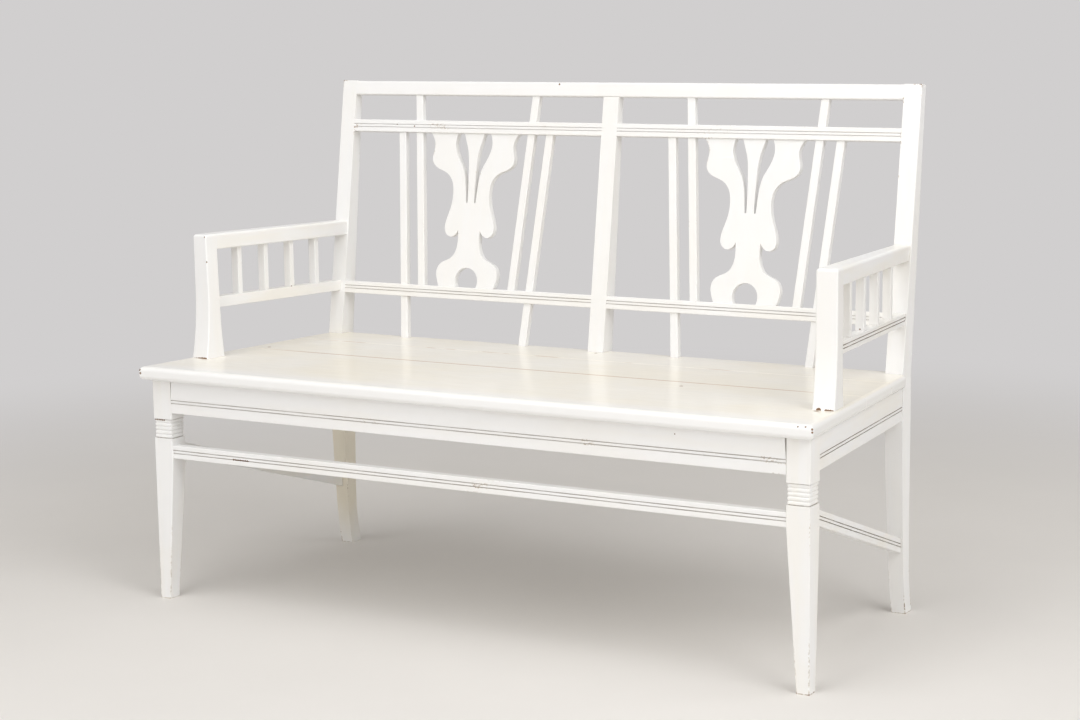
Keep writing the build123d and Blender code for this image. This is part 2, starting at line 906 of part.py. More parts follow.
with BuildPart() as top_rail:
    low = up_back(top_rail_bottom)
    high = up_back(total_height - top_rail_drop)
    back_block(-post_inner, post_inner, low, high, 0, top_rail_thickness)
    fillet(long_edges(top_rail, 1000), 2 * eased)
    rail_tenon(
        -post_inner - rail_tenon_length,
        post_inner + rail_tenon_length,
        top_rail_bottom,
        top_rail_height,
        top_tenon_setback,
    )
    half = post_width / 2 - tenon_shoulder + tenon_slack
    back_block(
        -half,
        half,
        low - 1,
        low + rail_tenon_length + tenon_end_slack,
        top_tenon_setback - tenon_slack,
        tenon_thickness + 2 * tenon_slack,
        Mode.SUBTRACT,
    )
    for bay in (1, -1):
        for towards in (1, -1):
            slat_shape(
                inner_half,
                towards,
                top_rail_bottom - 2,
                top_rail_bottom + housing + tenon_end_slack,
                tenon_slack,
                Mode.SUBTRACT,
                bay,
            )
save(top_rail.part, "top_rail")


def cross_rail(rail, bottom, through_half, blind_half, blind_low, blind_high):
    """The body of a right-bay cross rail, with the ways for its four slats."""
    x0 = post_width / 2
    high = up_back(bottom + cross_rail_height)
    back_block(x0, post_inner, up_back(bottom), high, 0, cross_rail_thickness)
    fillet(long_edges(rail, 300), eased)
    back_grooves(x0 - 1, post_inner + 1, bottom, rail_groove_middle)
    for end0, end1 in ((x0 - rail_tenon_length, x0), (post_inner, post_inner + rail_tenon_length)):
        rail_tenon(end0, end1, bottom, cross_rail_height, rail_tenon_setback)
    top = bottom + cross_rail_height
    for towards in (1, -1):
        slat_shape(through_half, towards, bottom - 5, top + 5, tenon_slack, Mode.SUBTRACT)
        slat_shape(blind_half, towards, blind_low, blind_high, tenon_slack, Mode.SUBTRACT)


def splat_tenons(places, low, high, slack=0.0, mode=Mode.ADD):
    """The short tenons along one end of the splat, or their mortises."""
    for x0, x1 in places:
        back_block(
            bay_centre + x0 - slack,
            bay_centre + x1 + slack,
            low,
            high,
            splat_setback - slack,
            splat_thickness + 2 * slack,
            mode,
        )


lower_rail_top = lower_rail_bottom + cross_rail_height
slack_end = splat_tenon + tenon_end_slack

with BuildPart() as upper_cross_rail:
    cross_rail(
        upper_cross_rail,
        upper_rail_bottom,
        inner_half,
        outer_half,
        upper_rail_bottom - 5,
        upper_rail_bottom + housing + tenon_end_slack,
    )
    low = up_back(upper_rail_bottom)
    splat_tenons(splat_top_tenons, low - 1, low + slack_end, tenon_slack, Mode.SUBTRACT)
save_pair(upper_cross_rail.part, "upper_cross_rail")

with BuildPart() as lower_cross_rail:
    cross_rail(
        lower_cross_rail,
        lower_rail_bottom,
        outer_half,
        inner_half,
        lower_rail_top - housing - tenon_end_slack,
        lower_rail_top + 5,
    )
    high = up_back(lower_rail_top)
    splat_tenons(splat_foot_tenons, high - slack_end, high + 1, tenon_slack, Mode.SUBTRACT)
save_pair(lower_cross_rail.part, "lower_cross_rail")

# Slats of the back, numbered from the left end of the bench

slats = [
    (5, outer_half, -1, seat_height - slat_foot, upper_rail_bottom + housing),
    (6, inner_half, -1, lower_rail_top - housing, top_rail_bottom + housing),
    (7, inner_half, 1, lower_rail_top - housing, top_rail_bottom + housing),
    (8, outer_half, 1, seat_height - slat_foot, upper_rail_bottom + housing),
]
for number, half, towards, low, high in slats:
    with BuildPart() as slat:
        slat_shape(half, towards, low, high)
        fillet(long_edges(slat, 100), eased)
    with BuildPart() as slat_mirrored:
        mirror(slat.part, about=Plane.YZ)
    save(slat.part, f"back_slat_{number}")
    save(slat_mirrored.part, f"back_slat_{9 - number}")

# Splats: half the outline, from the middle of the bay, as (distance out, height above the foot),
# drawn for a splat of drawn_height and stretched to the space between the rails

splat_foot = lower_rail_top
splat_top = upper_rail_bottom
drawn_height = 301.7
slot_inner = [(23, 301.7), (18, 286), (12.5, 268), (9.8, 248), (8.2, 218), (7.5, 190), (7.6, 166)]
slot_outer = [
    (11.2, 166),
    (13.5, 191),
    (17, 216),
    (22.5, 234),
    (30, 247),
    (39, 265),
    (42.5, 280),
    (41.5, 291),
    (38, 301.7),
]
lobe = [
    (101.5, 301.7),
    (94, 290),
    (91, 278),
    (92.5, 266),
    (95, 254),
    (93.5, 244),
    (86, 235.5),
    (74, 229.5),
    (60, 223.5),
    (51, 215.5),
    (44.5, 204),
    (42, 189),
    (42.5, 172),
    (47, 152),
    (53.5, 134),
    (57, 119),
    (55.5, 108),
    (49, 100.5),
    (41, 98.5),
    (33, 102),
    (25.5, 112),
]
stem = [
    (25.5, 112),
    (24.4, 98),
    (25, 85),
    (28, 72),
    (36, 59.5),
    (50, 51.5),
    (62, 45.5),
    (69, 36),
    (71, 25),
    (69, 14),
    (64, 0),
]
arch_radius = 26.0
arch_centre = 12.7


def on_back(points):
    """Outline points, moved to the middle of the bay and up the raked plane."""
    stretch = (splat_top - splat_foot) / drawn_height
    return [(bay_centre + x, up_back(splat_foot + height * stretch)) for x, height in points]


with BuildPart() as splat:
    with BuildSketch(back.offset(-splat_setback)) as outline:
        with BuildLine():
            arch_half = (arch_radius**2 - arch_centre**2) ** 0.5
            arch_side = arch_radius * cos(radians(45))
            Polyline(on_back([(0, arch_centre + arch_radius), (0, drawn_height), slot_inner[0]]))
            Spline(on_back(slot_inner))
            Line(on_back([slot_inner[-1], slot_outer[0]]))
            Spline(on_back(slot_outer))
            Line(on_back([slot_outer[-1], lobe[0]]))
            Spline(on_back(lobe))
            Spline(on_back(stem))
            Line(on_back([stem[-1], (arch_half, 0)]))
            ThreePointArc(
                on_back(
                    [
                        (arch_half, 0),
                        (arch_side, arch_centre + arch_side),
                        (0, arch_centre + arch_radius),
                    ]
                )
            )
        make_face()
        mirror(about=Plane((bay_centre, 0, 0), x_dir=(0, 1, 0), z_dir=(1, 0, 0)))
    extrude(amount=-splat_thickness)
    low = up_back(splat_foot)
    high = up_back(splat_top)
    splat_tenons(splat_foot_tenons, low - splat_tenon, low)
    splat_tenons(splat_top_tenons, high, high + splat_tenon)
save_pair(splat.part, "splat")

# Arms

arm_face_y = leg_y + 124.0  # the arm post's front, above its flared foot
arm_back_y = leg_y + 154.0
arm_rest_bottom = arm_top - arm_rest_height
arm_rail_top = arm_rail_bottom + arm_rail_height


def along(y):
    """The distance rearwards along the side's plane at a y."""
    return (y - side_y) / cos(side_angle)


def risen(y, rise):
    """How far an arm's rails have risen at a y, from nothing at the back post."""
    return rise * (post_y - y) / (post_y - arm_back_y)


def arm_bar(y0, y1, inset, thickness, low, high, rise=0.0, mode=Mode.ADD):
    """A bar along an arm, between two y at its outer face; low and high hold at the back post."""
    with BuildSketch(side.offset(-inset)) as outline:
        Polygon(
            (along(y0), low + risen(y0, rise)),
            (along(y1), low + risen(y1, rise)),
            (along(y1), high + risen(y1, rise)),
            (along(y0), high + risen(y0, rise)),
            align=None,
        )
    extrude(outline.sketch, amount=-thickness, mode=mode)


def round_rest(rest):
    """Rounds the long edges of an arm rest, or of the slice of it on an arm post."""
    lengthwise = [edge for edge in rest.edges() if abs(edge.tangent_at(0.5).Y) > 0.9]
    middle = sum(edge.center().Z for edge in lengthwise) / len(lengthwise)
    fillet([edge for edge in lengthwise if edge.center().Z > middle], arm_rounding)
    lengthwise = [edge for edge in rest.edges() if abs(edge.tangent_at(0.5).Y) > 0.9]
    lowest = min(edge.center().Z for edge in lengthwise)
    fillet([edge for edge in lengthwise if edge.center().Z < lowest + 1], 2 * eased)


def cut_at_back():
    """Cuts a bar off at the raked face of the back."""
    with BuildSketch(back) as outline:
        Rectangle(2 * front_width, 2 * front_width)
    extrude(outline.sketch, amount=-300, mode=Mode.SUBTRACT)


for hand, rise in arm_rise.items():
    # the slice of the arm rest's shape that carries it through to the post's crown
    with BuildPart() as rest_slice:
        arm_bar(
            arm_back_y - arm_rounding - 2 * eased,
            arm_back_y,
            0,
            arm_front_width[hand],
            arm_rest_bottom + rise,
            arm_top + rise,
        )
        round_rest(rest_slice)

    with BuildPart() as arm_post:
        with BuildSketch(side):
            with BuildLine():
                Polyline(
                    (along(arm_foot_rear), seat_height),
                    (along(arm_foot_front), seat_height),
                )
                Spline(
                    (along(arm_foot_front), seat_height),
                    (along(arm_foot_front + 9), seat_height + 50),
                    (along(arm_face_y), seat_height + 125),
                    tangents=((0.25, 1), (0, 1)),
                )
                Polyline(
                    (along(arm_face_y), seat_height + 125),
                    (along(arm_face_y), arm_top + rise),
                    (along(arm_back_y), arm_top + rise),
                    (along(arm_back_y), arm_rail_bottom + rise - 3),
                )
                Spline(
                    (along(arm_back_y), arm_rail_bottom + rise - 3),
                    (along(arm_foot_rear), seat_height),
                    tangents=((0, -1), (0.12, -1)),
                )
            make_face()
        extrude(amount=-arm_foot_width)
        # the inner face tapers to the width of the arm rest
        with BuildSketch(Plane(side.origin, x_dir=-side.z_dir, z_dir=side.x_dir)):
            Polygon(
                (arm_front_width[hand], arm_top + rise + 1),
                (arm_front_width[hand], arm_rest_bottom + rise),
                (arm_foot_width, seat_height),
                (arm_foot_width + 10, seat_height),
                (arm_foot_width + 10, arm_top + rise + 1),
                align=None,
            )
        extrude(amount=200, mode=Mode.SUBTRACT)
        upright = [edge for edge in arm_post.edges() if abs(edge.tangent_at(0.5).Z) > 0.9]
        fillet(upright, 2 * eased)
        crown = [edge for edge in arm_post.edges() if edge.center().Z > arm_top + rise - 1]
        fillet(crown, arm_rounding)
        add(rest_slice.part)
        side_bar(
            arm_foot_front + 10,
            arm_foot_rear - 10,
            (arm_foot_width - arm_tenon_width) / 2,
            arm_tenon_width,
            seat_height - arm_foot_tenon,
            seat_height,
        )
        for low, high in ((arm_rest_bottom, arm_top), (arm_rail_bottom, arm_rail_top)):
            side_tenon(
                arm_back_y - arm_tenon_length - tenon_end_slack,
                arm_back_y + 20,
                side_tenon_inset,
                low + rise,
                high + rise,
                tenon_slack,
                Mode.SUBTRACT,
            )
    save_hand(arm_post.part, "arm_post", hand)


def balusters(first, pitch, bottom, top, slack=0.0, mode=Mode.ADD):
    """An arm's balusters between two heights, or with slack their mortises."""
    for i in range(baluster_count):
        front = leg_y + seat_run * (first + i * pitch)
        side_bar(
            front - slack,
            front + baluster_depth + slack,
            baluster_inset - slack,
            baluster_width + 2 * slack,
            bottom,
            top,
            mode,
        )


def rest_width(y, hand):
    """An arm rest's width at a y."""
    share = (post_y - y) / (post_y - arm_back_y)
    return arm_rear_width + (arm_front_width[hand] - arm_rear_width) * share


for hand, (first, pitch) in baluster_places.items():
    rise = arm_rise[hand]
    front_y = arm_back_y - 10
    rear_y = post_y + 60
    with BuildPart() as arm_rest:
        arm_bar(arm_back_y, rear_y, 0, 2 * arm_foot_width, arm_rest_bottom, arm_top, rise)
        # the inner side runs in towards the back post
        with BuildSketch(Plane.XY.offset(arm_rest_bottom - 10)) as inside:
            Polygon(
                (side_x(front_y, rest_width(front_y, hand)), front_y),
                (side_x(rear_y, rest_width(rear_y, hand)), rear_y),
                (side_x(rear_y, 3 * arm_foot_width), rear_y),
                (side_x(front_y, 3 * arm_foot_width), front_y),
                align=None,
            )
        extrude(inside.sketch, amount=2 * arm_rest_height, mode=Mode.SUBTRACT)
        round_rest(arm_rest)
        cut_at_back()
        side_tenon(
            arm_back_y - arm_tenon_length,
            arm_back_y,
            side_tenon_inset,
            arm_rest_bottom + rise,
            arm_top + rise,
        )
        side_tenon(
            face_y(arm_rest_bottom) - 5,
            face_y(arm_top - arm_rest_height / 2) + arm_tenon_length,
            side_tenon_inset,
            arm_rest_bottom,
            arm_top,
        )
        high = arm_rest_bottom + housing + tenon_end_slack
        balusters(first, pitch, arm_rest_bottom - 1, high, tenon_slack, Mode.SUBTRACT)
    save_hand(arm_rest.part, "arm_rest", hand)

    with BuildPart() as arm_lower_rail:
        arm_bar(
            arm_back_y,
            rear_y,
            arm_rail_inset,
            arm_rail_thickness,
            arm_rail_bottom,
            arm_rail_top,
            rise,
        )
        fillet(long_edges(arm_lower_rail, 300), eased)
        for step in groove_steps:
            middle = arm_rail_bottom + arm_groove_middle + step
            arm_bar(
                arm_back_y - 1,
                rear_y + 20,
                arm_rail_inset - 1,
                groove_depth + 1,
                middle - groove_width / 2,
                middle + groove_width / 2,
                rise,
                Mode.SUBTRACT,
            )
        cut_at_back()
        side_tenon(
            arm_back_y - arm_tenon_length,
            arm_back_y,
            side_tenon_inset,
            arm_rail_bottom + rise,
            arm_rail_top + rise,
        )
        side_tenon(
            face_y(arm_rail_bottom) - 5,
            face_y(arm_rail_bottom + arm_rail_height / 2) + arm_tenon_length,
            side_tenon_inset,
            arm_rail_bottom,
            arm_rail_top,
        )
        low = arm_rail_top - housing - tenon_end_slack
        balusters(first, pitch, low, arm_rail_top + rise + 1, tenon_slack, Mode.SUBTRACT)
    save_hand(arm_lower_rail.part, "arm_lower_rail", hand)

    with BuildPart() as arm_balusters:
        balusters(first, pitch, arm_rail_top - housing, arm_rest_bottom + housing)
        fillet(long_edges(arm_balusters, 60), eased)
    in_order = arm_balusters.part.solids().sort_by(Axis.Y)
    for number, baluster in enumerate(in_order, start=1):
        with BuildPart() as arm_baluster:
            add(baluster)
        save_hand(arm_baluster.part, f"arm_baluster_{number}", hand)
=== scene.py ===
"""Finishes and stages a painted two-bay bench: brushed enamel over old pine, worn at its arrises.

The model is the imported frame. Each operator finishes one group of like pieces; the last one
builds the stage. Marks on the paint are placed in the frame's own millimetres, X along the
bench and -Y its front; lamps, floor and camera are in metres.
"""

import math

import bpy
from mathutils import Matrix, Vector

bl_info = {
    "name": "Painted bench",
    "version": (1, 0, 0),
    "blender": (4, 5, 0),
    "location": "View3D > Sidebar > Bench",
    "description": "Finishes a painted wooden bench and stands it on a pale studio floor",
    "category": "Object",
}

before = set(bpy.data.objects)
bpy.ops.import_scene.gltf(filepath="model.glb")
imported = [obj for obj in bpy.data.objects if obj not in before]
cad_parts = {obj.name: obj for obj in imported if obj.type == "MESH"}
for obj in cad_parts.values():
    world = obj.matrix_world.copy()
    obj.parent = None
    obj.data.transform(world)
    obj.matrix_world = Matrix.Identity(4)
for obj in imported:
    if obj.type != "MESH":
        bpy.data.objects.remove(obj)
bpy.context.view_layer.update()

MM = 0.001
SEAT_TOP = 445  # mm


def linear(hex_colour):
    """A written sRGB colour as the linear RGB that the renderer works in."""
    channels = [int(hex_colour[i : i + 2], 16) / 255 for i in (1, 3, 5)]
    return tuple(c / 12.92 if c <= 0.04045 else ((c + 0.055) / 1.055) ** 2.4 for c in channels)


def colour_property(name, description, hex_colour):
    """A colour that the user can change."""
    return bpy.props.FloatVectorProperty(
        name=name,
        description=description,
        subtype="COLOR",
        size=3,
        min=0.0,
        max=1.0,
        default=linear(hex_colour),
    )


def power_property(name, description, watts):
    """The strength of one lamp, which the user can change."""
    return bpy.props.FloatProperty(
        name=name, description=description, default=watts, min=0.0, unit="POWER"
    )


class BenchPaint(bpy.types.PropertyGroup):
    """The paint and what lies under it."""

    fresh: colour_property("Enamel", "Colour of the sound enamel", "#F5F5F5")
    aged: colour_property("Aged enamel", "Where the binder has yellowed", "#F3ECDB")
    # grey-brown of dirt in grooves and joints; the same colour paints the shade in those corners
    grime_and_shade: colour_property("Grime", "Dust and old polish held in grooves and joints", "#8A7A66")
    seam: colour_property("Seam", "Wax and wood shown where the seat boards have shrunk", "#A8754A")
    undercoat: colour_property("Undercoat", "Thin rim round a chip", "#DDD0B8")
    old_wood: colour_property("Old wood", "Stained pine at the bottom of a chip", "#7A5A3E")
    dowel: colour_property("Dowel", "Bare birch", "#D2AE7C")
    roughness: bpy.props.FloatProperty(
        name="Roughness",
        description="How far the enamel's gloss has dulled",
        default=0.3,
        min=0.0,
        max=1.0,
        subtype="FACTOR",
    )
    seat_roughness: bpy.props.FloatProperty(
        name="Seat roughness",
        description="The seat is rubbed smoother than the rest",
        default=0.2,
        min=0.0,
        max=1.0,
        subtype="FACTOR",
    )
    brush_pitch: bpy.props.FloatProperty(
        name="Brush marks",
        description="Distance between the ridges that the brush left",
        default=3.5 * MM,
        unit="LENGTH",
    )
    # how far the dirt and the painted shade spread out of a corner
    grime_and_shade_reach: bpy.props.FloatProperty(
        name="Grime reach",
        description="How far grime creeps out of a corner",
        default=3.0 * MM,
        unit="LENGTH",
    )
    chip_size: bpy.props.FloatProperty(
        name="Chip size",
        description="Usual width of a chip",
        default=4.0 * MM,
        unit="LENGTH",
    )
    splat_easing: bpy.props.FloatProperty(
        name="Eased splat edges",
        description="Radius sanded on the splats' sawn edges",
        default=0.9 * MM,
        unit="LENGTH",
    )


class BenchStage(bpy.types.PropertyGroup):
    """The floor, the light and the camera."""

    floor: colour_property("Floor", "Matt floor under the bench", "#EAE7E3")
    backdrop: colour_property("Backdrop", "What stands behind the bench", "#D1CFCF")
    world_level: bpy.props.FloatProperty(
        name="World", description="Light from all round", default=0.258, min=0.0
    )
    world_colour: colour_property("World colour", "Tint of the light from all round", "#FFF9F1")
    key_power: power_property("Key", "Large soft lamp, high in front", 37.0)
    front_power: power_property("Front", "Soft lamp low in front", 60.0)
    near_power: power_property("Near right", "Soft lamp at the near right", 23.0)
    right_power: power_property("Right", "Large soft lamp high at the right", 118.0)
    side_power: power_property("Side", "Soft lamp at the right, a little behind", 32.0)
    top_power: power_property("Top", "Soft lamp overhead", 30.0)
    focal_length: bpy.props.FloatProperty(
        name="Focal length", description="On a 36 mm wide sensor", default=73.09, unit="CAMERA"
    )


# Materials

TIMES = {"operation": "MULTIPLY"}
PLUS = {"operation": "ADD"}
MOST = {"operation": "MAXIMUM"}
EASED = {"interpolation_type": "SMOOTHSTEP"}
# with colours, a Mix node takes them at inputs 6 and 7 and gives the result at output 2
COLOURS = {"data_type": "RGBA"}
OCCLUSION_SAMPLES = 12
ARRIS_REACH = 3.0 * MM


def add(tree, kind, settings=None, inputs=()):
    """Adds a node with its settings; its inputs, in order or by name, are values or what to link.

    A node given as an input is linked from its first output.
    """
    node = tree.nodes.new(kind)
    for name, value in (settings or {}).items():
        setattr(node, name, value)
    for name, value in inputs.items() if isinstance(inputs, dict) else enumerate(inputs):
        if isinstance(value, bpy.types.Node):
            value = value.outputs[0]
        if isinstance(value, bpy.types.NodeSocket):
            tree.links.new(value, node.inputs[name])
        else:
            node.inputs[name].default_value = value
    return node


def blank_material(name):
    """A new material with its output node, and where a point of the surface is, in mm."""
    material = bpy.data.materials.new(name)
    material.use_nodes = True
    tree = material.node_tree
    tree.nodes.clear()
    output = add(tree, "ShaderNodeOutputMaterial")
    place = add(tree, "ShaderNodeTexCoord").outputs["Object"]
    mm = add(tree, "ShaderNodeVectorMath", {"operation": "SCALE"}, {0: place, "Scale": 1 / MM})
    return material, tree, output, mm


def along_grain(grain, along, across):
    """Feature sizes for a pattern that runs along an axis, X, Y or Z."""
    return tuple(along if axis == grain else across for axis in "XYZ")


def near_places(tree, mm, places):
    """1 at the middle of any of the places, falling to 0 at its radius: (x, y, z, radius) in mm."""
    nearest = None
    for x, y, z, radius in places:
        gap = add(tree, "ShaderNodeVectorMath", {"operation": "DISTANCE"}, [mm, (x, y, z)])
        ramp = [gap.outputs["Value"], radius * 0.35, radius, 1.0, 0.0]
        near = add(tree, "ShaderNodeMapRange", EASED, ramp)
        if nearest is not None:
            near = add(tree, "ShaderNodeMath", MOST, [nearest, near])
        nearest = near
    return nearest


def shrunk_seams(tree, mm, seams):
    """1 along any of the seams, broken up along them: (y, half width in mm, how much is left).

    A seam fades out towards the ends of the seat.
    """
    parts = add(tree, "ShaderNodeSeparateXYZ", inputs=[mm]).outputs
    from_middle = add(tree, "ShaderNodeMath", {"operation": "ABSOLUTE"}, [parts["X"]])
    towards_ends = add(tree, "ShaderNodeMapRange", EASED, [from_middle, 500, 640, 0.85, 0.0])
    stretched = add(tree, "ShaderNodeVectorMath", TIMES, [mm, (1 / 70, 1 / 9, 1 / 9)])
    filled = add(
        tree,
        "ShaderNodeTexNoise",
        inputs={"Vector": stretched, "Scale": 1.0, "Detail": 3.0, "Roughness": 0.55},
    )
    shown = None
    for place, half, left in seams:
        off = add(tree, "ShaderNodeMath", {"operation": "SUBTRACT"}, [parts["Y"], place])
        off = add(tree, "ShaderNodeMath", {"operation": "ABSOLUTE"}, [off])
        line = add(tree, "ShaderNodeMapRange", EASED, [off, half * 0.5, half, 1.0, 0.0])
        ramp = [filled, 0.62 - 0.4 * left, 0.72 - 0.3 * left, 0.15 * left, 1.0]
        broken = add(tree, "ShaderNodeMapRange", EASED, ramp)
        line = add(tree, "ShaderNodeMath", TIMES, [line, broken])
        line = add(tree, "ShaderNodeMath", TIMES, [line, towards_ends])
        if shown is not None:
            line = add(tree, "ShaderNodeMath", PLUS, [shown, line])
        shown = line
    return shown


def enamel_patterns(tree, mm, grain, paint):
    """The uneven patterns that brush marks, yellowing, grime and chips follow, by name.

    Each has the sizes of its features in mm along X, Y and Z, its detail and its roughness.
    """
    # ridges are really about 1.5 mm apart, and are drawn wider so that they show
    pitch = paint.brush_pitch / MM
    chip = paint.chip_size / MM
    patterns = {}
    for name, sizes, detail, roughness in (
        ("ridges", along_grain(grain, 60 * pitch, pitch), 2.0, 0.7),
        ("fibres", along_grain(grain, 320, 11), 4.0, 0.55),
        ("dents", (38, 38, 38), 1.0, 0.55),
        ("patches", (170, 170, 170), 3.0, 0.55),
        ("streaks", along_grain(grain, 420, 26), 3.0, 0.55),
        ("dust", along_grain(grain, 55, 7), 4.0, 0.65),
        ("flakes", (chip, chip, chip), 4.0, 0.6),
        ("handling", (90, 90, 90), 2.0, 0.55),
    ):
        stretched = add(tree, "ShaderNodeVectorMath", TIMES, [mm, [1 / size for size in sizes]])
        patterns[name] = add(
            tree,
            "ShaderNodeTexNoise",
            inputs={"Vector": stretched, "Scale": 1.0, "Detail": detail, "Roughness": roughness},
        )
    return patterns


def yellowing(tree, mm, patterns, yellowed, streaked, evenly, shaded_yellowing, whiter_front_edge):
    """How far the binder has yellowed, in patches and in streaks along the grain.

    The places given under the seat are yellow all over: painted warm shade there, with binder
    yellowed out of daylight. The seat's front edge and nosing are kept less yellow: the last
    argument is (front y, top z) in mm.
    """
    streaks = add(tree, "ShaderNodeMath", TIMES, [patterns["streaks"], streaked])
    mottle = add(tree, "ShaderNodeMath", PLUS, [patterns["patches"], streaks])
    ramp = [mottle, 0.3 + 0.5 * streaked, 0.75 + 0.5 * streaked, evenly, 1.0]
    mottle = add(tree, "ShaderNodeMapRange", EASED, ramp)
    age = add(tree, "ShaderNodeMath", TIMES, [mottle, yellowed])
    # painted warm shade: the places under the seat are yellowed all over, with binder yellowed out
    # of daylight
    if shaded_yellowing:
        age = add(tree, "ShaderNodeMath", PLUS, [age, near_places(tree, mm, shaded_yellowing)])
    # the seat's front edge and nosing are kept less yellow
    if whiter_front_edge:
        front, top = whiter_front_edge
        parts = add(tree, "ShaderNodeSeparateXYZ", inputs=[mm]).outputs
        behind_edge = [parts["Y"], front, front + 60, 0.3, 1.0]
        up_to_top = [parts["Z"], top - 4, top, 0.2, 1.0]
        for ramp in (behind_edge, up_to_top):
            less_yellow = add(tree, "ShaderNodeMapRange", EASED, ramp)
            age = add(tree, "ShaderNodeMath", TIMES, [age, less_yellow])
    return age


def grime_and_shade_in_corners(tree, dust, grime_and_shade_level, reach):
    """Dirt with painted shade: the colour darkens where little of the sky is seen from within a few
    millimetres, in corners and grooves.
    """
    # painted shade: occlusion within a few millimetres darkens corners and grooves, along with the
    # dirt held there
    occlusion = add(
        tree, "ShaderNodeAmbientOcclusion", {"samples": OCCLUSION_SAMPLES}, {"Distance": reach}
    )
    corner = add(tree, "ShaderNodeMapRange", EASED, [occlusion.outputs["AO"], 0.25, 0.68, 1.0, 0.0])
    held = add(tree, "ShaderNodeMapRange", EASED, [dust, 0.3, 0.62, 0.45 * grime_and_shade_level, grime_and_shade_level])
    return add(tree, "ShaderNodeMath", TIMES, [corner, held])


def chips(tree, mm, patterns, worn, specks):
    """Where the enamel has chipped to the wood, and the rim of undercoat round each chip.

    Chips follow the arrises, with more of them in the worn places; specks are single chips.
    """
    # inside the wood, only arrises have another face close by
    occlusion = add(
        tree,
        "ShaderNodeAmbientOcclusion",
        {"samples": OCCLUSION_SAMPLES, "inside": True, "only_local": True},
        {"Distance": ARRIS_REACH},
    )
    arris = add(tree, "ShaderNodeMapRange", EASED, [occlusion.outputs["AO"], 0.55, 0.9, 1.0, 0.0])
    flakes = patterns["flakes"]
    handled = add(tree, "ShaderNodeMapRange", EASED, [patterns["handling"], 0.62, 0.72, 0.0, 1.0])
    if worn:
        rough_use = near_places(tree, mm, worn)
        handled = add(tree, "ShaderNodeMath", PLUS, [handled, rough_use])
        loosened = add(tree, "ShaderNodeMath", TIMES, [rough_use, 0.06])
        flakes = add(tree, "ShaderNodeMath", PLUS, [flakes, loosened])
    lost = add(tree, "ShaderNodeMath", TIMES, [arris, handled])
    chip = add(tree, "ShaderNodeMapRange", EASED, [flakes, 0.56, 0.6, 0.0, 1.0])
    chip = add(tree, "ShaderNodeMath", TIMES, [lost, chip])
    rim = add(tree, "ShaderNodeMapRange", EASED, [flakes, 0.52, 0.56, 0.0, 1.0])
    rim = add(tree, "ShaderNodeMath", TIMES, [lost, rim])
    if specks:
        ragged = add(tree, "ShaderNodeMath", TIMES, [flakes, 0.8])
        ragged = add(tree, "ShaderNodeMath", PLUS, [near_places(tree, mm, specks), ragged])
        dots = add(tree, "ShaderNodeMapRange", EASED, [ragged, 0.95, 1.1, 0.0, 1.0])
        chip = add(tree, "ShaderNodeMath", MOST, [chip, dots])
    return chip, rim


def brushed_enamel(
    name,
    grain,
    roughness=None,
    worn=(),
    specks=(),
    yellowed=0.35,
    grime_and_shade_level=0.8,
    seams=(),
    ridged=1.0,
    streaked=1.0,
    shaded_yellowing=(),
    whiter_front_edge=None,
    evenly=0.0,
):
    """Alkyd enamel, brushed along the grain over old stained pine and hardened for decades.

    It gives the eye a warm white with a soft gloss, broken by shallow brush ridges; the binder
    has yellowed in patches; grooves and joints are darkened grey-brown, as dirt held there and as
    painted shade; and the arrises have chipped to a thin rim of undercoat round brown wood.
    """
    paint = bpy.context.scene.bench_paint
    material, tree, output, mm = blank_material(name)
    patterns = enamel_patterns(tree, mm, grain, paint)
    # dirt and painted shade in corners and grooves
    grime_and_shade = grime_and_shade_in_corners(tree, patterns["dust"], grime_and_shade_level, paint.grime_and_shade_reach)
    chip, rim = chips(tree, mm, patterns, worn, specks)

    layers = [
        (yellowing(tree, mm, patterns, yellowed, streaked, evenly, shaded_yellowing, whiter_front_edge), paint.aged),
        (grime_and_shade, paint.grime_and_shade),
        (rim, paint.undercoat),
        (chip, paint.old_wood),
    ]
    if seams:
        layers.append((shrunk_seams(tree, mm, seams), paint.seam))
    colour = (*paint.fresh, 1)
    for cover, tint in layers:
        mix = add(tree, "ShaderNodeMix", COLOURS, {0: cover, 6: colour, 7: (*tint, 1)})
        colour = mix.outputs[2]

    # heights are in mm
    height = add(tree, "ShaderNodeMath", TIMES, [patterns["ridges"], 0.035 * ridged])
    for relief, depth in (
        (patterns["fibres"], 0.06 * ridged),
        (patterns["dents"], 0.1 * ridged),
        (chip, -0.12),
    ):
        relief = add(tree, "ShaderNodeMath", TIMES, [relief, depth])
        height = add(tree, "ShaderNodeMath", PLUS, [height, relief])
    bump = add(tree, "ShaderNodeBump", inputs={"Height": height, "Distance": MM, "Strength": 1.0})

    dulled = (paint.roughness if roughness is None else roughness) - 0.05
    for cover, duller in ((patterns["dust"], 0.12), (grime_and_shade, 0.35)):
        cover = add(tree, "ShaderNodeMath", TIMES, [cover, duller])
        dulled = add(tree, "ShaderNodeMath", PLUS, [dulled, cover])
    bare_wood = add(tree, "ShaderNodeMath", TIMES, [chip, 0.7])
    dulled = add(tree, "ShaderNodeMath", MOST, [dulled, bare_wood])
    shader = add(
        tree,
        "ShaderNodeBsdfPrincipled",
        inputs={"Base Color": colour, "Roughness": dulled, "IOR": 1.5, "Normal": bump},
    )
    tree.links.new(shader.outputs[0], output.inputs["Surface"])
    return material


